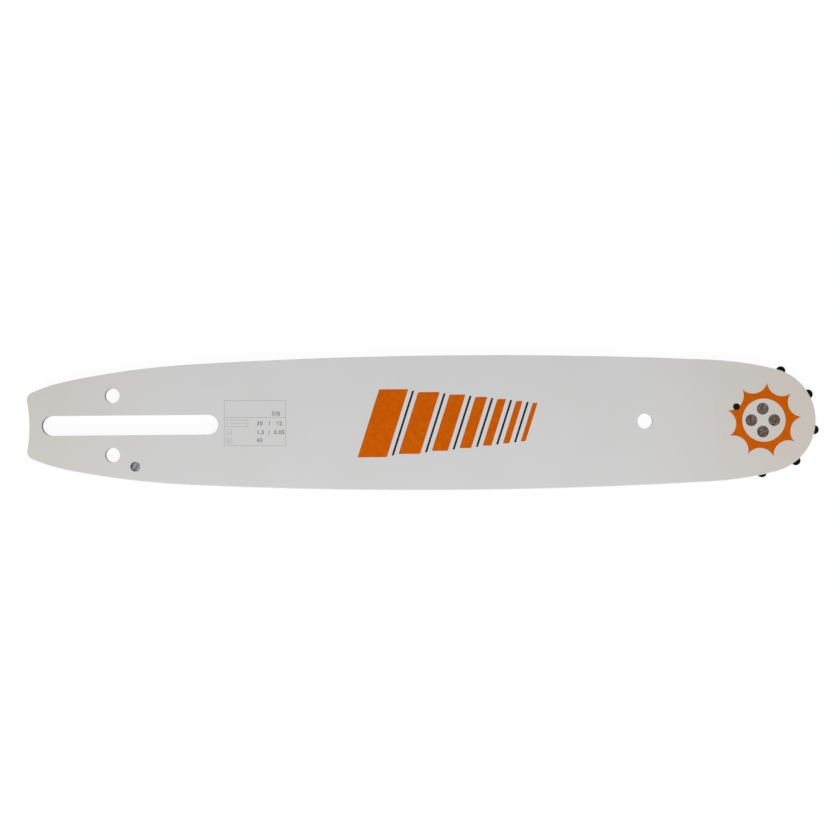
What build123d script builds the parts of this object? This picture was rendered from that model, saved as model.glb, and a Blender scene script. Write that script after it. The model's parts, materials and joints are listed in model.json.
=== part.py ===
from build123d import *
from math import asin, cos, floor, pi, sqrt
import os

# Guide bar of a small chain saw, lying on its back face, in millimetres.
# X runs from the stud slot to the nose, Y across the bar, Z up through its thickness.
# The origin is the middle of the stud slot, on the back face.

# Plates: two side plates on a narrower core, which leaves the chain groove all round.
side_plate_thickness = 1.4
core_plate_thickness = 1.4
groove_depth = 6.0
core_tail_setback = 1.0
edge_break = 0.3

# Outline: a chain of tangent arcs from nose to tail, mirrored about the bar's long axis.
# The long edge is one arc, which leaves the tail's taper at a slope and would pass the nose
# at the shoulder's rise outside its radius.
nose_reach = 270.8
nose_radius = 22.6
shoulder_rise = 2.15
shoulder_radius = 143.0
edge_slope = 3.085
taper_station = 25.8
taper_half_width = 25.78
taper_radius = 359.0
tail_round_station = -27.0
tail_round_radius = 74.6
tail_wall = 5.3
tail_hollow_radius = 56.0
tail_corner_radius = 3.5

# Openings at the tail: studs, tension pins and oil inlets.
stud_slot_length = 75.4
stud_slot_width = 8.5
tension_hole_diameter = 6.3
tension_hole_spacing = 25.4
tension_hole_station = -7.5
oil_hole_diameter = 4.2
oil_hole_station = 2.1
oil_notch_margin = 0.5

# Openings at the nose: hanging hole and grease inlets.
hang_hole_diameter = 6.5
hang_hole_setback = 50.4
grease_hole_diameter = 3.0
grease_hole_angle = 152.6

# Nose sprocket: round-topped teeth with round gullets between them.
tooth_count = 9
tooth_stand_out = 1.9
tooth_tip_radius = 2.0
first_tooth_angle = -10.9
sprocket_rim = 2.3
sprocket_side_play = 0.075

# Nose bearing: rollers between the fixed race and the sprocket's bore.
race_radius = 11.05
roller_diameter = 3.2
roller_gap = 0.1
bearing_clearance = 0.04
sprocket_pocket_clearance = 0.7

# Rivets through the race, ground flush with both side plates.
rivet_count = 4
rivet_circle_radius = 4.9
rivet_diameter = 5.0
rivet_clearance = 0.02

# Levels through the thickness.
core_level = side_plate_thickness
front_level = side_plate_thickness + core_plate_thickness
bar_thickness = front_level + side_plate_thickness
middle_level = bar_thickness / 2

# Sizes of the nose that follow from the ones above.
nose_centre = Vector(nose_reach, 0)
roller_circle_radius = race_radius + bearing_clearance + roller_diameter / 2
sprocket_bore_radius = race_radius + roller_diameter + 2 * bearing_clearance
sprocket_root_radius = sprocket_bore_radius + sprocket_rim
sprocket_tip_radius = nose_radius + tooth_stand_out
running_thickness = core_plate_thickness - 2 * sprocket_side_play
roller_step = 2 * asin((roller_diameter + roller_gap) / 2 / roller_circle_radius)
roller_count = floor(2 * pi / roller_step)


def towards(start, target, distance):
    """The point at this distance from start on the line towards target."""
    return start + (target - start).normalized() * distance


def crossing(centre_a, radius_a, centre_b, radius_b):
    """The crossing of two circles that lies to the left on the way from a to b."""
    way = centre_b - centre_a
    ahead = way.normalized()
    along = (radius_a**2 - radius_b**2 + way.length**2) / (2 * way.length)
    aside = sqrt(radius_a**2 - along**2)
    return centre_a + ahead * along + ahead.rotate(Axis.Z, 90) * aside


def top_of_circle(station, centre, radius):
    """The upper point of a circle at this station along X."""
    return Vector(station, centre.Y + sqrt(radius**2 - (station - centre.X) ** 2))


def below(point):
    """The point mirrored to the other side of the long axis."""
    return Vector(point.X, -point.Y)


def arc_about(centre, start, end):
    """The short arc from start to end about a centre."""
    middle = (start + end) * 0.5
    return ThreePointArc(start, towards(centre, middle, (start - centre).length), end)


# Centres of the outline's arcs, each tangent to the next.
shoulder_half_width = nose_radius + shoulder_rise
taper_start = Vector(taper_station, taper_half_width)
edge_inward = Vector(0, -1).rotate(Axis.Z, edge_slope)
nose_way = nose_centre - taper_start
edge_radius = (nose_way.length**2 - shoulder_half_width**2) / (
    2 * (nose_way.dot(edge_inward) - shoulder_half_width)
)
edge_centre = taper_start + edge_inward * edge_radius
shoulder_centre = crossing(
    edge_centre, edge_radius - shoulder_radius, nose_centre, shoulder_radius - nose_radius
)
taper_centre = taper_start + edge_inward * taper_radius
tail_round_start = top_of_circle(tail_round_station, taper_centre, taper_radius)
tail_round_centre = towards(tail_round_start, taper_centre, tail_round_radius)
tail_reach = stud_slot_length / 2 + tail_wall
hollow_centre = Vector(-tail_reach - tail_hollow_radius, 0)

# The oil holes lie on the floor of the groove, so that oil runs into it.
oil_hole_edge = top_of_circle(oil_hole_station, taper_centre, taper_radius)
oil_hole_offset = oil_hole_edge.Y - groove_depth


def bar_face(edge_inset, tail_inset):
    """The bar's outline, drawn in from its long edges and from its tail end."""
    tail_middle = Vector(tail_inset - tail_reach, 0)
    tail_corner = crossing(
        hollow_centre,
        tail_hollow_radius + tail_inset,
        tail_round_centre,
        tail_round_radius - edge_inset,
    )
    tail_round_end = towards(tail_round_centre, tail_round_start, tail_round_radius - edge_inset)
    taper_end = towards(taper_centre, taper_start, taper_radius - edge_inset)
    shoulder_start = towards(edge_centre, shoulder_centre, edge_radius - edge_inset)
    nose_start = towards(shoulder_centre, nose_centre, shoulder_radius - edge_inset)
    nose_tip = nose_centre + Vector(nose_radius - edge_inset, 0)
    upper_edge = Curve() + [
        arc_about(tail_round_centre, tail_corner, tail_round_end),
        arc_about(taper_centre, tail_round_end, taper_end),
        arc_about(edge_centre, taper_end, shoulder_start),
        arc_about(shoulder_centre, shoulder_start, nose_start),
    ]
    lower_edge = mirror(upper_edge, about=Plane.XZ)
    tail_end = ThreePointArc(below(tail_corner), tail_middle, tail_corner)
    nose_end = ThreePointArc(nose_start, nose_tip, below(nose_start))
    return make_face([*upper_edge.edges(), nose_end, *lower_edge.edges(), tail_end])


def through_openings():
    """The openings that go right through the bar: stud slot, tension holes and hanging hole."""
    tension_holes = Locations(
        (tension_hole_station, tension_hole_spacing / 2),
        (tension_hole_station, -tension_hole_spacing / 2),
    )
    openings = SlotOverall(stud_slot_length, stud_slot_width)
    openings += [place * Circle(tension_hole_diameter / 2) for place in tension_holes]
    openings += Pos(nose_reach - hang_hole_setback) * Circle(hang_hole_diameter / 2)
    return openings


def rivets(clearance):
    """All nose rivets from face to face, or with a clearance the holes that they fill."""
    rivet = extrude(Circle(rivet_diameter / 2 + clearance), bar_thickness)
    places = PolarLocations(rivet_circle_radius, rivet_count)
    return [Pos(nose_centre) * place * rivet for place in places]


def side_plate():
    """One side plate with its outer face up, without its rivet holes."""
    outline = bar_face(0, 0)
    outline = fillet(outline.vertices().sort_by(Axis.X)[:2], tail_corner_radius)
    plate = extrude(outline, side_plate_thickness)
    rim = plate.faces().sort_by(Axis.Z)[-1].outer_wire().edges()
    plate = chamfer(rim, edge_break)
    inlets = Pos(oil_hole_station, -oil_hole_offset) * Circle(oil_hole_diameter / 2)
    grease_place = PolarLocations(roller_circle_radius, 1, grease_hole_angle)
    inlets += [
        Pos(nose_centre) * place * Circle(grease_hole_diameter / 2) for place in grease_place
    ]
    return plate - extrude(through_openings() + inlets, side_plate_thickness)


def front_side_plate():
    """The side plate that faces up."""
    return Pos(0, 0, front_level) * side_plate() - rivets(rivet_clearance)


def back_side_plate():
    """The same stamping turned over about the bar's long axis."""
    return Pos(0, 0, core_level) * Rot(X=180) * side_plate() - rivets(rivet_clearance)


def core_plate():
    """The spacer between the side plates, hollow at the nose and notched at the oil inlets."""
    oil_notches = Locations(
        (oil_hole_station, oil_hole_offset),
        (oil_hole_station, -oil_hole_offset),
    )
    outline = bar_face(groove_depth, core_tail_setback) - through_openings()
    notch_radius = oil_hole_diameter / 2 + oil_notch_margin
    outline -= [place * Circle(notch_radius) for place in oil_notches]
    outline -= Pos(nose_centre) * Circle(sprocket_tip_radius + sprocket_pocket_clearance)
    return Pos(0, 0, core_level) * extrude(outline, core_plate_thickness)


def sprocket_face():
    """The star: each tip arc runs into the gullet arc beside it, and the bore is round."""
    half_step = pi / tooth_count
    tip_circle = sprocket_tip_radius - tooth_tip_radius
    root = sprocket_root_radius
    gullet_radius = (
        (tooth_tip_radius**2 - root**2 - tip_circle**2 + 2 * tip_circle * root * cos(half_step))
        / (2 * (root - tip_circle * cos(half_step) - tooth_tip_radius))
    )
    tip_centre = Vector(tip_circle, 0)
    gullet_centre = Vector(root + gullet_radius, 0).rotate(Axis.Z, 180 / tooth_count)
    flank_end = towards(tip_centre, gullet_centre, tooth_tip_radius)
    flank_start = below(flank_end)
    next_flank_start = flank_start.rotate(Axis.Z, 360 / tooth_count)
    gullet_bottom = towards(gullet_centre, Vector(0, 0), gullet_radius)
    tooth = [
        ThreePointArc(flank_start, Vector(sprocket_tip_radius, 0), flank_end),
        ThreePointArc(flank_end, gullet_bottom, next_flank_start),
    ]
    turns = [Rot(Z=360 / tooth_count * number) for number in range(tooth_count)]
    star = make_face([turn * edge for turn in turns for edge in tooth])
    return Rot(Z=first_tooth_angle) * star - Circle(sprocket_bore_radius)


def nose_sprocket():
    """The star sprocket, with side play between the side plates."""
    star = extrude(sprocket_face(), running_thickness / 2, both=True)
    return Pos(nose_reach, 0, middle_level) * star


def bearing_race():
    """The fixed inner race, which the rivets clamp between the side plates."""
    race = extrude(Circle(race_radius), core_plate_thickness)
    return Pos(nose_reach, 0, core_level) * race - rivets(rivet_clearance)


def bearing_rollers():
    """The rollers in place round the race, one solid each."""
    roller = Cylinder(roller_diameter / 2, running_thickness)
    places = PolarLocations(roller_circle_radius, roller_count)
    return [Pos(nose_reach, 0, middle_level) * place * roller for place in places]


def write_parts():
    """Write each sub-part to its own file."""
    pieces = {
        "front_side_plate": front_side_plate(),
        "back_side_plate": back_side_plate(),
        "core_plate": core_plate(),
        "nose_sprocket": nose_sprocket(),
        "bearing_race": bearing_race(),
        "nose_rivets": Compound(rivets(0)),
    }
    for number, roller in enumerate(bearing_rollers(), start=1):
        pieces[f"bearing_roller_{number:02d}"] = roller
    os.makedirs("parts", exist_ok=True)
    for name, piece in pieces.items():
        export_step(piece, f"parts/{name}.step")


write_parts()
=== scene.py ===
"""Looks of a guide bar for a small chain saw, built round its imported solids."""

import json
import math

import bmesh
import bpy
from bpy.props import (
    FloatProperty,
    FloatVectorProperty,
    IntProperty,
    PointerProperty,
)
from bpy.types import NodeSocket, Operator, Panel, PropertyGroup
from mathutils import Matrix, Vector


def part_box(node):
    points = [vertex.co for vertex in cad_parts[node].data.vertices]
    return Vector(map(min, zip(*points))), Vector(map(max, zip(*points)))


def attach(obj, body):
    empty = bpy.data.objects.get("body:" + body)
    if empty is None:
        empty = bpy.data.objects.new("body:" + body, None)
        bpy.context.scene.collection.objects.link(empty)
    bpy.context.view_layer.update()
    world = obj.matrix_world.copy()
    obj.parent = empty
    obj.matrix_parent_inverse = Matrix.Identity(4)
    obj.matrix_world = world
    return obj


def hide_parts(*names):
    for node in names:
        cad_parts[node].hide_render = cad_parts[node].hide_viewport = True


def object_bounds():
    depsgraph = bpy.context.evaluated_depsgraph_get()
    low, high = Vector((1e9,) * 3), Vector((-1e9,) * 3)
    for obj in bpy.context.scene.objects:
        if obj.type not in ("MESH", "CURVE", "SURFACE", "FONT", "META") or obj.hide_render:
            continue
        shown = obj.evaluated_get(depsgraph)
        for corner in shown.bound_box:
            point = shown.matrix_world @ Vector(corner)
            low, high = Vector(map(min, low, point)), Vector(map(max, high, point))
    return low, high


bl_info = {
    "name": "Guide bar looks",
    "version": (1, 0, 0),
    "blender": (4, 5, 0),
    "location": "3D View > Sidebar > Guide bar",
    "description": "Paint, print, rivets and stage for a chain saw guide bar",
    "category": "Object",
}

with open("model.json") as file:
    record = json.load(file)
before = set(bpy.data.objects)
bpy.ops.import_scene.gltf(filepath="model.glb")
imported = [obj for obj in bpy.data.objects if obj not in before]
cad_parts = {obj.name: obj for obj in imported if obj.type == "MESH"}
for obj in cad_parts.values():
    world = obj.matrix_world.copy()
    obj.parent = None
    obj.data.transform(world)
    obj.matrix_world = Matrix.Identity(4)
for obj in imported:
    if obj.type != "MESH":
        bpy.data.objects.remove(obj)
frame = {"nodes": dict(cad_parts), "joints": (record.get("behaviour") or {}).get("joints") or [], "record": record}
cad_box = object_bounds()

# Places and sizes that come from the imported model, in metres.
nose_joint = next(joint for joint in frame["joints"] if joint["name"] == "sprocket_spin")
nose_axis = Vector((nose_joint["pos_m"][0], nose_joint["pos_m"][1], 0))
mounts = {mount["name"]: mount for mount in frame["record"]["mounts"]}
places = {name: Vector(mount["pos_m"]) for name, mount in mounts.items()}
radii = {name: mount["dims"].get("r_mm", 0.0) / 1000 for name, mount in mounts.items()}
tail_end = cad_box[0].x
face_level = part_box("front_side_plate")[1].z
inner_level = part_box("front_side_plate")[0].z
middle_level = face_level / 2
rivet_low, rivet_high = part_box("nose_rivets")

# Sizes that several pieces share, in metres, and a full turn.
rivet_radius = 0.0025
ink_sink = 0.00001
merge_distance = 0.000001
full_turn = 2 * math.pi


class PaintSettings(PropertyGroup):
    """Colours and finishes of the plates and the metal inside."""

    coat_colour: FloatVectorProperty(
        name="Coat",
        description="Colour of the powder coat",
        subtype="COLOR",
        default=(0.612, 0.612, 0.61),
    )
    coat_shade: FloatVectorProperty(
        name="Coat shade",
        description="Colour of the coat where it lies thinner",
        subtype="COLOR",
        default=(0.594, 0.594, 0.59),
    )
    # Painted shade: a darker, warmer coat colour that stands in for the light falling off at the nose and the
    # tail.
    coat_warm_shade: FloatVectorProperty(
        name="Coat, warm",
        description="Warmer tone of the coat at the nose, and in part at the tail",
        subtype="COLOR",
        default=(0.581, 0.539, 0.492),
    )
    coat_roughness: FloatProperty(
        name="Coat roughness",
        description="Roughness of the coat",
        subtype="FACTOR",
        default=0.44,
    )
    # Dark bare steel on the walls of the openings, made darker still as painted shade inside the openings.
    punched_steel_and_shade: FloatVectorProperty(
        name="Punched steel",
        description="Dark steel on the walls of the punched openings",
        subtype="COLOR",
        default=(0.03, 0.031, 0.033),
    )
    rail_steel: FloatVectorProperty(
        name="Rail steel",
        description="Ground steel of the rails that the chain runs on",
        subtype="COLOR",
        default=(0.4, 0.4, 0.405),
    )
    inner_steel: FloatVectorProperty(
        name="Inner steel",
        description="Steel of the plates' inner faces",
        subtype="COLOR",
        default=(0.4, 0.435, 0.48),
    )
    core_steel: FloatVectorProperty(
        name="Core steel",
        description="Steel of the core plate",
        subtype="COLOR",
        default=(0.06, 0.063, 0.068),
    )
    # Greased steel, darkened almost to black as painted shade, since it is seen only down the deep grease hole.
    bearing_steel: FloatVectorProperty(
        name="Bearing steel",
        description="Greased steel of race and rollers",
        subtype="COLOR",
        default=(0.008, 0.009, 0.012),
    )
    sprocket_black: FloatVectorProperty(
        name="Sprocket",
        description="Black finish of the sprocket",
        subtype="COLOR",
        default=(0.0025, 0.0025, 0.003),
    )
    rivet_light: FloatVectorProperty(
        name="Rivet, light",
        description="Bright metal of a rivet",
        subtype="COLOR",
        default=(0.218, 0.168, 0.138),
    )
    # Dark scale on a rivet, also used as the painted shade in the rivet's rim.
    rivet_scale_and_shade: FloatVectorProperty(
        name="Rivet, dark",
        description="Dark scale on a rivet",
        subtype="COLOR",
        default=(0.026, 0.019, 0.015),
    )
    rivet_brown: FloatVectorProperty(
        name="Rivet, brown",
        description="Brown film on a rivet",
        subtype="COLOR",
        default=(0.1, 0.052, 0.036),
    )


class PrintSettings(PropertyGroup):
    """Sizes and colours of the print on the upper face."""

    ink_thickness: FloatProperty(
        name="Ink",
        description="Thickness of the ink",
        unit="LENGTH",
        default=0.00002,
        precision=6,
    )
    orange: FloatVectorProperty(
        name="Orange",
        description="Orange ink",
        subtype="COLOR",
        default=(0.6, 0.108, 0.0),
    )
    black: FloatVectorProperty(
        name="Black",
        description="Black ink",
        subtype="COLOR",
        default=(0.012, 0.011, 0.011),
    )
    grey: FloatVectorProperty(
        name="Grey",
        description="Grey ink",
        subtype="COLOR",
        default=(0.3, 0.3, 0.3),
    )
    orange_patches: FloatProperty(
        name="Orange patches",
        description="Tone of the orange where the ink lies thicker",
        subtype="FACTOR",
        default=0.86,
    )
    ring_points: IntProperty(
        name="Ring points",
        description="Points of the ring round the rivets",
        default=9,
        min=3,
    )
    ring_tip_radius: FloatProperty(
        name="Ring tips",
        description="Radius to the ring's points",
        unit="LENGTH",
        default=0.0161,
    )
    ring_root_radius: FloatProperty(
        name="Ring roots",
        description="Radius to the hollows between the points",
        unit="LENGTH",
        default=0.01195,
    )
    ring_bore_radius: FloatProperty(
        name="Ring bore",
        description="Radius of the ring's round inside",
        unit="LENGTH",
        default=0.00925,
    )
    ring_turn: FloatProperty(
        name="Ring turn",
        description="Angle of the first point",
        subtype="ANGLE",
        default=math.radians(4.5),
    )
    ring_shift: FloatProperty(
        name="Ring shift",
        description="How far the print lies off the axis",
        unit="LENGTH",
        default=0.00045,
    )
    stripe_start: FloatProperty(
        name="Stripes start",
        description="Where the stripes begin along the bar",
        unit="LENGTH",
        default=0.102,
    )
    stripe_width: FloatProperty(
        name="Stripe width",
        description="Width of the widest stripe",
        unit="LENGTH",
        default=0.0125,
    )
    stripe_height: FloatProperty(
        name="Stripe height",
        description="Height of the tallest stripe",
        unit="LENGTH",
        default=0.029,
    )
    stripe_lean: FloatProperty(
        name="Stripe lean",
        description="Lean of the stripes",
        subtype="ANGLE",
        default=math.radians(18),
    )
    panel_place: FloatVectorProperty(
        name="Panel place",
        description="Middle of the size panel on the bar",
        subtype="XYZ",
        unit="LENGTH",
        size=2,
        default=(0.0535, 0.0005),
    )
    panel_length: FloatProperty(
        name="Panel length",
        description="Length of the size panel",
        unit="LENGTH",
        default=0.0263,
    )
    panel_height: FloatProperty(
        name="Panel height",
        description="Height of the size panel",
        unit="LENGTH",
        default=0.0194,
    )
    panel_head: FloatProperty(
        name="Panel head",
        description="Height of the panel's upper field",
        unit="LENGTH",
        default=0.00727,
    )
    panel_line: FloatProperty(
        name="Panel line",
        description="Width of the panel's lines",
        unit="LENGTH",
        default=0.0001,
    )
    panel_turn: FloatProperty(
        name="Panel turn",
        description="How far the panel is out of line with the bar",
        subtype="ANGLE",
        default=math.radians(-0.474),
    )


class StageSettings(PropertyGroup):
    """Camera, lights and floor."""

    camera_place: FloatVectorProperty(
        name="Camera",
        description="Place of the camera",
        subtype="TRANSLATION",
        default=(0.12411, 0.00126, 1.2042),
    )
    camera_turn: FloatProperty(
        name="Camera turn",
        description="Turn of the camera about its view",
        subtype="ANGLE",
        default=math.radians(-0.474),
    )
    camera_lens: FloatProperty(
        name="Lens",
        description="Focal length of the lens",
        unit="CAMERA",
        default=120.2,
    )
    sky_strength: FloatProperty(
        name="Sky",
        description="Strength of the even light",
        default=0.543,
    )
    lamp_target: FloatVectorProperty(
        name="Lamp target",
        description="Place on the bar that both lamps point at",
        subtype="TRANSLATION",
        default=(0.125, 0.0, face_level),
    )
    soft_power: FloatProperty(
        name="Soft lamp",
        description="Power of the soft lamp",
        unit="POWER",
        default=1.74,
    )
    soft_away: FloatVectorProperty(
        name="Soft lamp place",
        description="Way from the target to the soft lamp",
        subtype="TRANSLATION",
        default=(-0.03, -0.3, 0.26),
    )
    soft_size: FloatVectorProperty(
        name="Soft lamp size",
        description="Length and width of the soft lamp",
        subtype="XYZ",
        unit="LENGTH",
        size=2,
        default=(1.0, 0.2),
    )
    rim_power: FloatProperty(
        name="Rim lamp",
        description="Power of the weak, low lamp",
        unit="POWER",
        default=0.5,
    )
    rim_away: FloatVectorProperty(
        name="Rim lamp place",
        description="Way from the target to the weak, low lamp",
        subtype="TRANSLATION",
        default=(0.08, 0.32, 0.05),
    )
    rim_size: FloatVectorProperty(
        name="Rim lamp size",
        description="Length and width of the weak, low lamp",
        subtype="XYZ",
        unit="LENGTH",
        size=2,
        default=(0.7, 0.06),
    )
    floor_reach: FloatProperty(
        name="Floor reach",
        description="Half the length of the floor's side",
        unit="LENGTH",
        default=4.0,
    )
    floor_glow: FloatProperty(
        name="Floor glow",
        description="Share of the floor that keeps white",
        subtype="FACTOR",
        default=0.92,
    )


def add_node(tree, kind, inputs=None, **settings):
    """Add a node, give it its settings, and set or link its inputs."""
    node = tree.nodes.new(kind)
    for name, value in settings.items():
        setattr(node, name, value)
    for key, value in (inputs or {}).items():
        socket = node.inputs[key]
        if isinstance(value, NodeSocket):
            tree.links.new(value, socket)
        else:
            socket.default_value = value
    return node


def calculate(tree, operation, first, second=0.0):
    """One sum on two values."""
    return add_node(tree, "ShaderNodeMath", {0: first, 1: second}, operation=operation).outputs[0]


def weighted_sum(tree, *terms, start=0.0):
    """The sum of all values, each times its weight, counted from a start."""
    total = start
    for value, weight in terms:
        inputs = {0: value, 1: weight, 2: total}
        total = add_node(tree, "ShaderNodeMath", inputs, operation="MULTIPLY_ADD").outputs[0]
    return total


def split(tree, vector):
    """The three parts of a vector."""
    return add_node(tree, "ShaderNodeSeparateXYZ", {0: vector}).outputs


def straight_line(tree, along, across):
    """Length of the straight line that goes so far along and so far across."""
    line = add_node(tree, "ShaderNodeCombineXYZ", {0: along, 1: across}).outputs[0]
    return add_node(tree, "ShaderNodeVectorMath", {0: line}, operation="LENGTH").outputs["Value"]


def ease(tree, value, low, high, start=0.0, end=1.0):
    """A soft step from start to end while the value goes from low to high."""
    inputs = {0: value, 1: low, 2: high, 3: start, 4: end}
    return add_node(tree, "ShaderNodeMapRange", inputs, interpolation_type="SMOOTHSTEP").outputs[0]


def mix_values(tree, share, first, second):
    """The first value, going over to the second with the share."""
    return add_node(tree, "ShaderNodeMix", {0: share, 2: first, 3: second}).outputs[0]


def mix_colours(tree, share, first, second):
    """The first colour, going over to the second with the share."""
    colours = []
    for colour in (first, second):
        is_plain = not isinstance(colour, NodeSocket)
        colours.append((*colour, 1.0) if is_plain else colour)
    inputs = {0: share, 6: colours[0], 7: colours[1]}
    return add_node(tree, "ShaderNodeMix", inputs, data_type="RGBA").outputs[2]


def toned(colour, factor):
    """A darker or lighter tone of a colour."""
    return [value * factor for value in colour]


def noise(tree, place, scale, detail=2.0, stretch=(1.0, 1.0, 1.0)):
    """Noise on the piece's own coordinates, stretched along an axis where that is asked."""
    scaled = add_node(tree, "ShaderNodeMapping", {"Vector": place, "Scale": stretch}).outputs[0]
    inputs = {"Vector": scaled, "Scale": scale, "Detail": detail}
    return add_node(tree, "ShaderNodeTexNoise", inputs).outputs[0]


def slanted(tree, place):
    """The coordinates turned, so that marks run across the bar at a slant."""
    turn = (0.0, 0.0, math.radians(-52))
    return add_node(tree, "ShaderNodeMapping", {"Vector": place, "Rotation": turn}).outputs[0]


def start_material(name):
    """A new material with its tree, its shader and the piece's own coordinates."""
    material = bpy.data.materials.new(name)
    material.use_nodes = True
    tree = material.node_tree
    place = add_node(tree, "ShaderNodeTexCoord").outputs["Object"]
    return material, tree, tree.nodes["Principled BSDF"], place


def link(tree, output, shader, socket):
    """Link a value to one of the shader's sockets."""
    tree.links.new(output, shader.inputs[socket])


def add_bump(tree, shader, height, depth):
    """Let a height between nought and one stand up by this depth."""
    inputs = {"Strength": 1.0, "Distance": depth, "Height": height}
    link(tree, add_node(tree, "ShaderNodeBump", inputs).outputs[0], shader, "Normal")


def faces_up_or_down(tree):
    """One on flat faces and broken edges, nought on upright walls."""
    normal = add_node(tree, "ShaderNodeTexCoord").outputs["Normal"]
    upright = calculate(tree, "ABSOLUTE", split(tree, normal)[2])
    return ease(tree, upright, low=0.2, high=0.5)


def in_hanging_hole(tree, place, from_middle):
    """One at both mouths of the hanging hole, which the coat runs into."""
    coat_margin, coat_fade = 0.00015, 0.00015
    mouth = (*places["hanging_hole"].xy, face_level - middle_level)
    along, across, _ = split(tree, place)
    folded = {0: along, 1: across, 2: from_middle}
    ends = {0: add_node(tree, "ShaderNodeCombineXYZ", folded).outputs[0], 1: mouth}
    distance = add_node(tree, "ShaderNodeVectorMath", ends, operation="DISTANCE").outputs["Value"]
    fade_start = radii["hanging_hole"] + coat_margin
    return ease(tree, distance, fade_start, fade_start + coat_fade, start=1.0, end=0.0)


def on_rails(tree, place):
    """One on the bar's outer edge, nought near its long axis, where the openings are."""
    slot_reach, slot_blend = 0.006, 0.003
    tail_depth, blend = 0.004, 0.001
    holes_start = places["tension_hole_upper"].x - radii["tension_hole_upper"]
    holes_reach = abs(places["oil_inlet_front"].y) + radii["oil_inlet_front"]
    along, across, _ = split(tree, place)
    past_nose = calculate(tree, "MAXIMUM", calculate(tree, "SUBTRACT", along, nose_axis.x), 0.0)
    from_axis = straight_line(tree, past_nose, across)
    # Between the tail and the tension holes there is only the slot.
    reach = ease(tree, along, holes_start - slot_blend, holes_start, slot_reach, holes_reach)
    beyond = ease(tree, calculate(tree, "SUBTRACT", from_axis, reach), 0.0, blend)
    tail_wall = tail_end + tail_depth
    at_tail = ease(tree, along, tail_wall, tail_wall + blend, start=1.0, end=0.0)
    return calculate(tree, "MAXIMUM", beyond, at_tail)


def on_inner_faces(tree, from_middle):
    """One on the plates' inner faces and on nothing above them."""
    skin, blend = 0.00001, 0.00003
    skin_end = inner_level - middle_level + skin
    return ease(tree, from_middle, skin_end, skin_end + blend, start=1.0, end=0.0)


def weld_dimples(tree, place):
    """Pairs of faint round dimples along the bar, where the plates are welded together."""
    first, pitch, row, radius = 0.0196, 0.0436, 0.0103, 0.0026
    flat_share = 0.7
    along, across, _ = split(tree, place)
    from_pair = calculate(tree, "PINGPONG", calculate(tree, "SUBTRACT", along, first), pitch / 2)
    from_row = calculate(tree, "SUBTRACT", calculate(tree, "ABSOLUTE", across), row)
    distance = straight_line(tree, from_pair, from_row)
    return ease(tree, distance, radius * flat_share, radius, start=1.0, end=0.0)


def coat_share(tree, place, from_middle):
    """One where the coat lies: on outer faces and broken edges, and at the hanging hole's mouths."""
    coat_start, blend, rag_depth = 0.00184, 0.00008, 0.00016
    rag = noise(tree, place, scale=1400.0, detail=4.0)
    ragged = weighted_sum(tree, (rag, rag_depth), start=from_middle)
    on_face = ease(tree, ragged, coat_start, coat_start + blend)
    outward = calculate(tree, "MULTIPLY", on_face, faces_up_or_down(tree))
    return calculate(tree, "MAXIMUM", outward, in_hanging_hole(tree, place, from_middle))


def coat_colour(tree, place, paint, clouds):
    """Colour of the coat: cloudy and finely speckled, with painted shade, darker and warmer, towards the nose and
    the tail.
    """
    nose_start, nose_full = nose_axis.x - 0.06, nose_axis.x + 0.024
    tail_fade_end, tail_shade_share = 0.02, 0.6
    specks = noise(tree, place, scale=2600.0)
    tone = weighted_sum(tree, (clouds, 0.75), (specks, 0.25))
    shade_share = ease(tree, tone, low=0.3, high=0.72)
    even_colour = mix_colours(tree, shade_share, paint.coat_colour, paint.coat_shade)
    # Painted shade: the coat turns darker and warmer towards the nose and, less strongly, towards the tail.
    along = split(tree, place)[0]
    nose_shade = ease(tree, along, nose_start, nose_full)
    tail_shade = ease(tree, along, tail_end, tail_fade_end, start=tail_shade_share, end=0.0)
    end_shade = calculate(tree, "MAXIMUM", nose_shade, tail_shade)
    return mix_colours(tree, end_shade, even_colour, paint.coat_warm_shade)


def bare_colour(tree, place, paint, streaks, rails, inside):
    """Colour of the bare steel: dark punched walls, darkened further as painted shade inside the openings, ground
    rails and scratched inner faces.
    """
    grinding = noise(tree, place, scale=2400.0, detail=4.0, stretch=(0.02, 0.02, 1.0))
    scratches = noise(tree, slanted(tree, place), scale=700.0, detail=4.0, stretch=(0.08, 1.0, 1.0))
    punched_share = ease(tree, streaks, low=0.3, high=0.7)
    rail_share = ease(tree, grinding, low=0.35, high=0.62)
    inner_share = ease(tree, scratches, low=0.36, high=0.58)
    # Painted shade: the punched walls are dark steel, darkened further for the shade inside the openings.
    shaded_punched = mix_colours(tree, punched_share, toned(paint.punched_steel_and_shade, 0.5), paint.punched_steel_and_shade)
    rail = mix_colours(tree, rail_share, toned(paint.rail_steel, 0.6), paint.rail_steel)
    inner = mix_colours(tree, inner_share, toned(paint.inner_steel, 0.35), paint.inner_steel)
    return mix_colours(tree, inside, mix_colours(tree, rails, shaded_punched, rail), inner)


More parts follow.
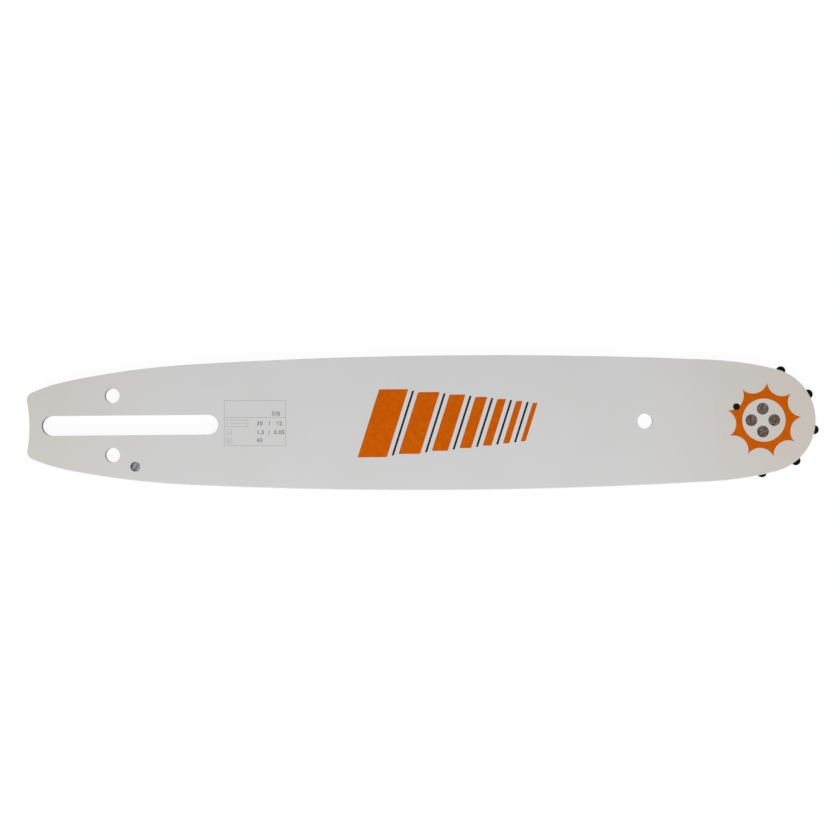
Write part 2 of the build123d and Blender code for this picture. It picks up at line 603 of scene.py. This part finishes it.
def plate_paint(paint):
    """Powder coat on the outer faces, bare steel on the cut edges and inside."""
    punched_roughness, roughness_swing = 0.9, 0.08
    material, tree, shader, place = start_material("plate_paint")
    height = split(tree, place)[2]
    from_middle = calculate(tree, "ABSOLUTE", calculate(tree, "SUBTRACT", height, middle_level))
    coat = coat_share(tree, place, from_middle)
    rails = on_rails(tree, place)
    inside = on_inner_faces(tree, from_middle)
    clouds = noise(tree, place, scale=28.0, detail=3.0)
    streaks = noise(tree, place, scale=900.0, detail=5.0, stretch=(1.0, 1.0, 0.06))
    bare = bare_colour(tree, place, paint, streaks, rails, inside)
    coated = coat_colour(tree, place, paint, clouds)
    link(tree, mix_colours(tree, coat, bare, coated), shader, "Base Color")
    link(tree, ease(tree, coat, 0.0, 1.0, start=0.85, end=0.0), shader, "Metallic")
    grain = noise(tree, place, scale=3500.0, detail=3.0)
    ground_roughness = ease(tree, grain, low=0.2, high=0.8, start=0.3, end=0.5)
    ground = calculate(tree, "MAXIMUM", rails, inside)
    bare_roughness = mix_values(tree, ground, punched_roughness, ground_roughness)
    least_roughness = paint.coat_roughness - roughness_swing / 2
    coat_roughness = weighted_sum(tree, (clouds, roughness_swing), start=least_roughness)
    link(tree, mix_values(tree, coat, bare_roughness, coat_roughness), shader, "Roughness")
    peel = noise(tree, place, scale=750.0)
    coat_relief = weighted_sum(tree, (peel, 0.8), (weld_dimples(tree, place), -1.4))
    add_bump(tree, shader, mix_values(tree, coat, streaks, coat_relief), depth=0.00002)
    return material


def worn_steel(name, colour, stretch, roughness=(0.3, 0.5)):
    """Rolled or ground steel with streaks along one axis and dark film in patches."""
    material, tree, shader, place = start_material(name)
    streaks = noise(tree, place, scale=800.0, detail=5.0, stretch=stretch)
    film = noise(tree, place, scale=160.0, detail=4.0)
    share = ease(tree, calculate(tree, "ADD", streaks, film), low=0.7, high=1.25)
    link(tree, mix_colours(tree, share, toned(colour, 0.45), colour), shader, "Base Color")
    shader.inputs["Metallic"].default_value = 0.9
    smooth, dull = roughness
    link(tree, ease(tree, film, low=0.3, high=0.7, start=smooth, end=dull), shader, "Roughness")
    add_bump(tree, shader, streaks, depth=0.00001)
    return material


def sprocket_black(paint):
    """Black finish on stamped steel, a little greyer where it is rubbed."""
    black = paint.sprocket_black
    material, tree, shader, place = start_material("sprocket_black")
    rubbed = noise(tree, place, scale=420.0, detail=5.0)
    share = ease(tree, rubbed, low=0.5, high=0.75)
    link(tree, mix_colours(tree, share, black, toned(black, 3.0)), shader, "Base Color")
    link(tree, ease(tree, rubbed, low=0.3, high=0.7, start=0.55, end=0.4), shader, "Roughness")
    shader.inputs["Specular IOR Level"].default_value = 0.06
    add_bump(tree, shader, noise(tree, place, scale=1800.0, detail=3.0), depth=0.00001)
    return material


def rivet_steel(paint):
    """Ground rivet ends: mottled metal with turning rings, brown film, and painted shade in a thin dark rim where
    the rivet meets the plate.
    """
    rim_shade_width, rim_shade_strength = 0.00035, 0.7
    ring_frequency = 18000.0
    material, tree, shader, place = start_material("rivet_steel")
    radius = add_node(tree, "ShaderNodeAttribute", attribute_name="turning_radius").outputs["Fac"]
    mottle = noise(tree, place, scale=1150.0, detail=5.0)
    strokes = noise(tree, slanted(tree, place), scale=1700.0, detail=3.0, stretch=(0.3, 1.0, 1.0))
    rings = calculate(tree, "SINE", calculate(tree, "MULTIPLY", radius, ring_frequency))
    tone = weighted_sum(tree, (mottle, 0.6), (strokes, 0.4), (rings, 0.02))
    light_share = ease(tree, tone, low=0.38, high=0.62)
    metal = mix_colours(tree, light_share, paint.rivet_scale_and_shade, paint.rivet_light)
    patches = noise(tree, place, scale=420.0, detail=3.0)
    film = ease(tree, patches, low=0.46, high=0.66, start=0.0, end=0.75)
    stained = mix_colours(tree, film, metal, paint.rivet_brown)
    # Painted shade: a thin dark rim round each rivet end, standing in for the shadow in the gap to the plate.
    rim_shade = ease(tree, radius, rivet_radius - rim_shade_width, rivet_radius, start=0.0, end=rim_shade_strength)
    link(tree, mix_colours(tree, rim_shade, stained, paint.rivet_scale_and_shade), shader, "Base Color")
    shader.inputs["Metallic"].default_value = 0.55
    link(tree, ease(tree, mottle, low=0.3, high=0.7, start=0.55, end=0.36), shader, "Roughness")
    add_bump(tree, shader, tone, depth=0.00003)
    return material


def screen_ink(name, colour, patch_tone):
    """Screen-printed ink: slightly uneven in colour and gloss, over the coat's soft waves."""
    material, tree, shader, place = start_material(name)
    patches = noise(tree, place, scale=520.0, detail=4.0)
    grains = noise(tree, place, scale=4200.0)
    share = ease(tree, weighted_sum(tree, (grains, 0.3), start=patches), low=0.5, high=0.8)
    link(tree, mix_colours(tree, share, colour, toned(colour, patch_tone)), shader, "Base Color")
    link(tree, ease(tree, patches, low=0.3, high=0.7, start=0.62, end=0.52), shader, "Roughness")
    shader.inputs["Specular IOR Level"].default_value = 0.03
    add_bump(tree, shader, noise(tree, place, scale=750.0), depth=0.000016)
    return material


def dress(material, *nodes):
    """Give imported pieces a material."""
    for node in nodes:
        slots = frame["nodes"][node].data.materials
        slots.clear()
        slots.append(material)


def finish_mesh(shape, name):
    """Merge doubles, turn the faces outwards and hand over the mesh."""
    bmesh.ops.remove_doubles(shape, verts=shape.verts, dist=merge_distance)
    bmesh.ops.recalc_face_normals(shape, faces=shape.faces)
    mesh = bpy.data.meshes.new(name)
    shape.to_mesh(mesh)
    shape.free()
    return mesh


def place_piece(name, shape, material):
    """Put a finished piece on the bar."""
    mesh = finish_mesh(shape, name)
    mesh.materials.clear()
    mesh.materials.append(material)
    piece = bpy.data.objects.new(name, mesh)
    bpy.context.scene.collection.objects.link(piece)
    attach(piece, "bar")
    return piece


def spin(shape, geometry, centre, angle, steps, **options):
    """Spin part of a shape about an upright axis."""
    bmesh.ops.spin(
        shape,
        geom=geometry,
        cent=centre,
        axis=(0, 0, 1),
        dvec=(0, 0, 0),
        angle=angle,
        steps=steps,
        **options,
    )


def repeat_round(shape, centre, count):
    """Repeat a shape round an upright axis until there are this many of it."""
    everything = shape.verts[:] + shape.edges[:] + shape.faces[:]
    angle = full_turn * (count - 1) / count
    spin(shape, everything, centre, angle, count - 1, use_duplicate=True)


def thicken(shape, thickness):
    """Turn flat outlines into closed slabs of ink on the upper face."""
    flat = shape.faces[:]
    raised = bmesh.ops.extrude_face_region(shape, geom=flat, use_keep_orig=True)["geom"]
    corners = [part for part in raised if isinstance(part, bmesh.types.BMVert)]
    bmesh.ops.translate(shape, verts=corners, vec=(0, 0, thickness + ink_sink))


def add_patch(shape, centre, length, height, lean=0.0):
    """A flat patch on the upper face, leaning forwards by an angle."""
    place = Matrix(
        (
            (length, height * math.tan(lean), 0, centre[0]),
            (0, height, 0, centre[1]),
            (0, 0, 1, face_level - ink_sink),
            (0, 0, 0, 1),
        )
    )
    made = bmesh.ops.create_grid(shape, x_segments=1, y_segments=1, size=0.5, matrix=place)
    return made["verts"]


def round_corners(shape, corners, radius):
    """Round the corners of a flat patch."""
    bmesh.ops.bevel(
        shape,
        geom=corners,
        offset=radius,
        offset_type="OFFSET",
        segments=4,
        profile=0.5,
        affect="VERTICES",
        material=-1,
    )


def hollow_out(shape, corners, line):
    """Leave only a line round the outline of a flat patch."""
    faces = list({face for corner in corners for face in corner.link_faces})
    bmesh.ops.inset_region(shape, faces=faces, thickness=line, use_even_offset=True, use_boundary=True)
    bmesh.ops.delete(shape, geom=faces, context="FACES")


class GUIDE_BAR_OT_side_plates(Operator):
    """Paint the two side plates"""

    bl_idname = "guide_bar.side_plates"
    bl_label = "Side plates"

    def execute(self, context):
        paint = context.scene.guide_bar_paint
        dress(plate_paint(paint), "front_side_plate", "back_side_plate")
        return {"FINISHED"}


class GUIDE_BAR_OT_core_plate(Operator):
    """Give the core plate its rolled steel"""

    bl_idname = "guide_bar.core_plate"
    bl_label = "Core plate"

    def execute(self, context):
        paint = context.scene.guide_bar_paint
        along_bar = (0.05, 1.0, 1.0)
        dress(worn_steel("core_steel", paint.core_steel, along_bar), "core_plate")
        return {"FINISHED"}


class GUIDE_BAR_OT_nose_sprocket(Operator):
    """Blacken the nose sprocket"""

    bl_idname = "guide_bar.nose_sprocket"
    bl_label = "Nose sprocket"

    def execute(self, context):
        paint = context.scene.guide_bar_paint
        dress(sprocket_black(paint), "nose_sprocket")
        return {"FINISHED"}


class GUIDE_BAR_OT_nose_bearing(Operator):
    """Give the race and the rollers their greased steel, darkened almost to black as painted shade for the deep
    grease hole
    """

    bl_idname = "guide_bar.nose_bearing"
    bl_label = "Nose bearing"

    def execute(self, context):
        paint = context.scene.guide_bar_paint
        upright = (1.0, 1.0, 0.1)
        steel = worn_steel("bearing_steel", paint.bearing_steel, upright, roughness=(0.22, 0.4))
        rollers = [name for name in frame["nodes"] if name.startswith("bearing_roller")]
        dress(steel, "bearing_race", *rollers)
        return {"FINISHED"}


class GUIDE_BAR_OT_nose_rivets(Operator):
    """Turn the four rivets with ground ends and put them in place"""

    bl_idname = "guide_bar.nose_rivets"
    bl_label = "Nose rivets"

    def execute(self, context):
        paint = context.scene.guide_bar_paint
        rivet_count, facets = 4, 56
        rivet_circle = rivet_high.x - nose_axis.x - rivet_radius
        rivet_axis = nose_axis + Vector((rivet_circle, 0, 0))
        # Radius and depth under the face, from the axis to the shank.
        end_profile = (
            (0.0, 0.00007),
            (0.00035, 0.00006),
            (0.0006, 0.00002),
            (0.0012, 0.0),
            (0.002, 0.0),
            (0.00215, 0.00004),
            (0.00228, 0.0),
            (0.00242, 0.00002),
            (rivet_radius, 0.0001),
        )
        levels = [(radius, rivet_high.z - depth) for radius, depth in end_profile]
        levels += [(radius, rivet_low.z + depth) for radius, depth in reversed(end_profile)]
        shape = bmesh.new()
        turning = shape.verts.layers.float.new("turning_radius")
        corners = []
        for radius, level in levels:
            corner = shape.verts.new((rivet_axis.x + radius, rivet_axis.y, level))
            corner[turning] = radius
            corners.append(corner)
        for first, second in zip(corners, corners[1:]):
            shape.edges.new((first, second))
        profile = shape.verts[:] + shape.edges[:]
        spin(shape, profile, rivet_axis, full_turn, facets, use_merge=True)
        bmesh.ops.remove_doubles(shape, verts=shape.verts, dist=merge_distance)
        repeat_round(shape, nose_axis, rivet_count)
        piece = place_piece("nose_rivet_ends", shape, rivet_steel(paint))
        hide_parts("nose_rivets")
        return {"FINISHED"}


class GUIDE_BAR_OT_nose_ring(Operator):
    """Print the pointed ring round the rivets"""

    bl_idname = "guide_bar.nose_ring"
    bl_label = "Nose ring"

    def execute(self, context):
        sizes = context.scene.guide_bar_print
        facets = 18
        centre = Vector((nose_axis.x + sizes.ring_shift, nose_axis.y, face_level - ink_sink))
        step = full_turn / sizes.ring_points
        tip, root = sizes.ring_tip_radius, sizes.ring_root_radius
        # The hollow between two points is part of a circle through both points and the root.
        reach = (tip**2 - root**2) / (2 * (tip * math.cos(step / 2) - root))
        hollow_radius = reach - root
        half_hollow = math.asin(tip * math.sin(step / 2) / hollow_radius)
        hollow_centre = centre + Matrix.Rotation(step / 2, 3, "Z") @ Vector((reach, 0, 0))
        shape = bmesh.new()
        hollow_start = shape.verts.new(centre + Vector((tip, 0, 0)))
        spin(shape, [hollow_start], hollow_centre, -2 * half_hollow, facets)
        bore_start = shape.verts.new(centre + Vector((sizes.ring_bore_radius, 0, 0)))
        spin(shape, [bore_start], centre, step, facets)
        bmesh.ops.bridge_loops(shape, edges=shape.edges[:])
        repeat_round(shape, centre, sizes.ring_points)
        bmesh.ops.remove_doubles(shape, verts=shape.verts, dist=merge_distance)
        turn = Matrix.Rotation(sizes.ring_turn, 3, "Z")
        bmesh.ops.rotate(shape, verts=shape.verts, cent=centre, matrix=turn)
        thicken(shape, sizes.ink_thickness)
        ink = screen_ink("print_orange", sizes.orange, sizes.orange_patches)
        piece = place_piece("nose_ring_print", shape, ink)
        self.clear_grease_hole(context, piece)
        return {"FINISHED"}

    def clear_grease_hole(self, context, piece):
        """Take the ink away over the grease hole."""
        hole_radius = radii["grease_inlet_front"]
        hole_place = (*places["grease_inlet_front"].xy, face_level)
        drill = bmesh.new()
        bmesh.ops.create_cone(
            drill,
            cap_ends=True,
            segments=48,
            radius1=hole_radius,
            radius2=hole_radius,
            depth=0.001,
            matrix=Matrix.Translation(hole_place),
        )
        drill_piece = bpy.data.objects.new("grease_drill", finish_mesh(drill, "grease_drill"))
        context.scene.collection.objects.link(drill_piece)
        cut = piece.modifiers.new("grease_hole", "BOOLEAN")
        cut.operation = "DIFFERENCE"
        cut.solver = "EXACT"
        cut.object = drill_piece
        ready = piece.evaluated_get(context.evaluated_depsgraph_get())
        cut_mesh = bpy.data.meshes.new_from_object(ready)
        piece.modifiers.remove(cut)
        bpy.data.objects.remove(drill_piece)
        if not cut_mesh.polygons:
            raise RuntimeError("the grease hole took the whole ring away")
        piece.data = cut_mesh
        cut_mesh.name = piece.name


class GUIDE_BAR_OT_stripes(Operator):
    """Print the leaning stripes in the middle of the bar"""

    bl_idname = "guide_bar.stripes"
    bl_label = "Stripes"

    def execute(self, context):
        sizes = context.scene.guide_bar_print
        stripe_count, width_ratio, height_ratio = 7, 0.74, 0.91
        gap, pin_width = 0.0046, 0.0009
        broad_corner, pin_corner = 0.0005, 0.0003
        black_patches = 1.6
        broad, pins = bmesh.new(), bmesh.new()
        start, width, height = sizes.stripe_start, sizes.stripe_width, sizes.stripe_height
        for number in range(stripe_count):
            corners = add_patch(broad, (start + width / 2, 0), width, height, sizes.stripe_lean)
            round_corners(broad, corners, broad_corner)
            start += width + gap / 2
            if number < stripe_count - 1:
                pin_height = height * (1 + height_ratio) / 2
                corners = add_patch(pins, (start, 0), pin_width, pin_height, sizes.stripe_lean)
                round_corners(pins, corners, pin_corner)
            start += gap / 2
            width *= width_ratio
            height *= height_ratio
        thicken(broad, sizes.ink_thickness)
        thicken(pins, sizes.ink_thickness)
        orange = screen_ink("stripe_orange", sizes.orange, sizes.orange_patches)
        black = screen_ink("stripe_black", sizes.black, black_patches)
        place_piece("broad_stripe_print", broad, orange)
        place_piece("pin_stripe_print", pins, black)
        return {"FINISHED"}


class GUIDE_BAR_OT_size_panel(Operator):
    """Print the size panel: a thin frame, three plain signs and plain numbers"""

    bl_idname = "guide_bar.size_panel"
    bl_label = "Size panel"

    def execute(self, context):
        sizes = context.scene.guide_bar_print
        grey_patches = 0.85
        line = sizes.panel_line
        centre = sizes.panel_place
        left = centre.x - sizes.panel_length / 2
        divider = centre.y + sizes.panel_height / 2 - sizes.panel_head
        shape = bmesh.new()
        corners = add_patch(shape, centre, sizes.panel_length, sizes.panel_height)
        hollow_out(shape, corners, line)
        add_patch(shape, (centre.x, divider), sizes.panel_length - 2 * line, line)
        self.add_signs(shape, left, divider, line)
        thicken(shape, sizes.ink_thickness)
        self.add_numbers(context, shape, left, divider, sizes.ink_thickness)
        turn = Matrix.Rotation(sizes.panel_turn, 3, "Z")
        bmesh.ops.rotate(shape, verts=shape.verts, cent=(*centre, face_level), matrix=turn)
        ink = screen_ink("print_grey", sizes.grey, grey_patches)
        place_piece("size_panel_print", shape, ink)
        return {"FINISHED"}

    def add_signs(self, shape, left, divider, line):
        """Signs for the bar's length, the groove's width and the chain's links."""
        bar_row, groove_row, link_row = divider - 0.0025, divider - 0.0063, divider - 0.0099
        bar_middle, slot_middle, column = left + 0.0056, left + 0.0062, left + 0.0021
        # The bar: an outline with its slot.
        bar_length, bar_height, slot_length = 0.009, 0.003, 0.0066
        bar_sign = add_patch(shape, (bar_middle, bar_row), bar_length, bar_height)
        hollow_out(shape, bar_sign, line)
        add_patch(shape, (slot_middle, bar_row), slot_length, line)
        # The groove: two side plates with a lower core between them.
        plate_height, core_height, plate_offset, plate_line = 0.0027, 0.0014, 0.0009, line * 1.4
        core_drop = (plate_height - core_height) / 2
        for offset in (-plate_offset, plate_offset):
            add_patch(shape, (column + offset, groove_row), plate_line, plate_height)
        add_patch(shape, (column, groove_row - core_drop), plate_line, core_height)
        # Two links of the chain, one a little lower than the other.
        link_radius, link_offset, link_slope = 0.0009, 0.0006, 0.6
        for offset in (-link_offset, link_offset):
            link_place = (column + offset, link_row - offset * link_slope, face_level - ink_sink)
            link_sign = bmesh.ops.create_circle(
                shape,
                cap_ends=True,
                segments=24,
                radius=link_radius,
                matrix=Matrix.Translation(link_place),
            )["verts"]
            hollow_out(shape, link_sign, line)

    def add_numbers(self, context, shape, left, divider, thickness):
        """Chain pitch, bar length, groove width and link count as plain numbers."""
        column, size, pitch_size = left + 0.0139, 0.0023, 0.0025
        numbers = (
            ("3/8", left + 0.0202, divider + 0.0008, pitch_size),
            ("30   /   12", column, divider - 0.0033, size),
            ("1.3  /  0.05", column, divider - 0.0071, size),
            ("45", column, divider - 0.0105, size),
        )
        for text, along, up, text_size in numbers:
            letters = bpy.data.curves.new("number", "FONT")
            letters.body = text
            letters.size = text_size
            letters.resolution_u = 3
            letters.offset = 0.00009
            letters.space_character = 1.15
            letters.extrude = (thickness + ink_sink) / 2
            holder = bpy.data.objects.new("number", letters)
            context.scene.collection.objects.link(holder)
            ready = holder.evaluated_get(context.evaluated_depsgraph_get())
            mesh = bpy.data.meshes.new_from_object(ready)
            mesh.transform(Matrix.Translation((along, up, face_level + (thickness - ink_sink) / 2)))
            shape.from_mesh(mesh)
            bpy.data.objects.remove(holder)
            bpy.data.meshes.remove(mesh)


class GUIDE_BAR_OT_stage(Operator):
    """Set the floor, the light and the camera"""

    bl_idname = "guide_bar.stage"
    bl_label = "Stage"

    def execute(self, context):
        stage = context.scene.guide_bar_stage
        context.scene.view_settings.view_transform = "Standard"
        self.add_floor(context, stage)
        self.add_sky(context, stage)
        self.add_lamp(context, "soft_lamp", stage.soft_power, stage.soft_away, stage.soft_size)
        self.add_lamp(context, "rim_lamp", stage.rim_power, stage.rim_away, stage.rim_size)
        self.add_camera(context, stage)
        return {"FINISHED"}

    def white_rays(self, tree):
        """One for rays that show the background: from the camera, off gloss and through glass."""
        path = add_node(tree, "ShaderNodeLightPath").outputs
        shown = calculate(tree, "MAXIMUM", path["Is Camera Ray"], path["Is Glossy Ray"])
        return calculate(tree, "MAXIMUM", shown, path["Is Transmission Ray"])

    def add_floor(self, context, stage):
        """A plain white floor that keeps the bar's shadow."""
        shape = bmesh.new()
        bmesh.ops.create_grid(shape, x_segments=1, y_segments=1, size=stage.floor_reach)
        floor = bpy.data.objects.new("floor", finish_mesh(shape, "floor"))
        context.scene.collection.objects.link(floor)
        material, tree, shader, _ = start_material("floor_white")
        shader.inputs["Base Color"].default_value = (0.95, 0.95, 0.95, 1)
        shader.inputs["Roughness"].default_value = 1.0
        shader.inputs["Specular IOR Level"].default_value = 0.0
        glow = add_node(tree, "ShaderNodeEmission", {"Strength": 1.02}).outputs[0]
        share = calculate(tree, "MULTIPLY", self.white_rays(tree), stage.floor_glow)
        shaders = {0: share, 1: shader.outputs[0], 2: glow}
        mixed = add_node(tree, "ShaderNodeMixShader", shaders).outputs[0]
        link(tree, mixed, tree.nodes["Material Output"], "Surface")
        floor.data.materials.append(material)

    def add_sky(self, context, stage):
        """Even white light from all round."""
        world = bpy.data.worlds.new("even_light")
        world.use_nodes = True
        tree = world.node_tree
        background = tree.nodes["Background"]
        background.inputs["Color"].default_value = (1, 1, 1, 1)
        strength = ease(tree, self.white_rays(tree), 0.0, 1.0, start=stage.sky_strength, end=1.0)
        link(tree, strength, background, "Strength")
        context.scene.world = world

    def add_lamp(self, context, name, power, away, size):
        """A flat lamp away from the bar and turned towards it."""
        lamp = bpy.data.lights.new(name, "AREA")
        lamp.energy = power
        lamp.shape = "RECTANGLE"
        lamp.size, lamp.size_y = size
        holder = bpy.data.objects.new(name, lamp)
        holder.location = context.scene.guide_bar_stage.lamp_target + away
        holder.rotation_euler = (-away).to_track_quat("-Z", "Y").to_euler()
        context.scene.collection.objects.link(holder)

    def add_camera(self, context, stage):
        """A camera that looks straight down."""
        camera = bpy.data.cameras.new("camera")
        camera.sensor_width = 36.0
        camera.lens = stage.camera_lens
        camera.clip_start = 0.01
        holder = bpy.data.objects.new("camera", camera)
        holder.location = stage.camera_place
        holder.rotation_euler = (0, 0, stage.camera_turn)
        context.scene.collection.objects.link(holder)
        context.scene.camera = holder


class GUIDE_BAR_PT_looks(Panel):
    """Lists the steps that dress the guide bar, and their settings"""

    bl_idname = "GUIDE_BAR_PT_looks"
    bl_label = "Guide bar"
    bl_space_type = "VIEW_3D"
    bl_region_type = "UI"
    bl_category = "Guide bar"

    def draw(self, context):
        for operator in operators:
            self.layout.operator(operator.bl_idname)
        for settings in ("guide_bar_paint", "guide_bar_print", "guide_bar_stage"):
            group = getattr(context.scene, settings)
            box = self.layout.box()
            for name in group.__annotations__:
                box.prop(group, name)


operators = (
    GUIDE_BAR_OT_stage,
    GUIDE_BAR_OT_side_plates,
    GUIDE_BAR_OT_core_plate,
    GUIDE_BAR_OT_nose_sprocket,
    GUIDE_BAR_OT_nose_bearing,
    GUIDE_BAR_OT_nose_rivets,
    GUIDE_BAR_OT_nose_ring,
    GUIDE_BAR_OT_stripes,
    GUIDE_BAR_OT_size_panel,
)
classes = (PaintSettings, PrintSettings, StageSettings, *operators, GUIDE_BAR_PT_looks)


def register():
    """Register the classes and hang the settings on the scene."""
    for kind in classes:
        bpy.utils.register_class(kind)
    bpy.types.Scene.guide_bar_paint = PointerProperty(type=PaintSettings)
    bpy.types.Scene.guide_bar_print = PointerProperty(type=PrintSettings)
    bpy.types.Scene.guide_bar_stage = PointerProperty(type=StageSettings)


def unregister():
    """Take the settings and the classes away again."""
    del bpy.types.Scene.guide_bar_stage
    del bpy.types.Scene.guide_bar_print
    del bpy.types.Scene.guide_bar_paint
    for kind in reversed(classes):
        bpy.utils.unregister_class(kind)


def main():
    """Dress the bar step by step."""
    register()
    bpy.ops.guide_bar.stage()
    bpy.ops.guide_bar.side_plates()
    bpy.ops.guide_bar.core_plate()
    bpy.ops.guide_bar.nose_sprocket()
    bpy.ops.guide_bar.nose_bearing()
    bpy.ops.guide_bar.nose_rivets()
    bpy.ops.guide_bar.nose_ring()
    bpy.ops.guide_bar.stripes()
    bpy.ops.guide_bar.size_panel()


if __name__ == "__main__":
    main()
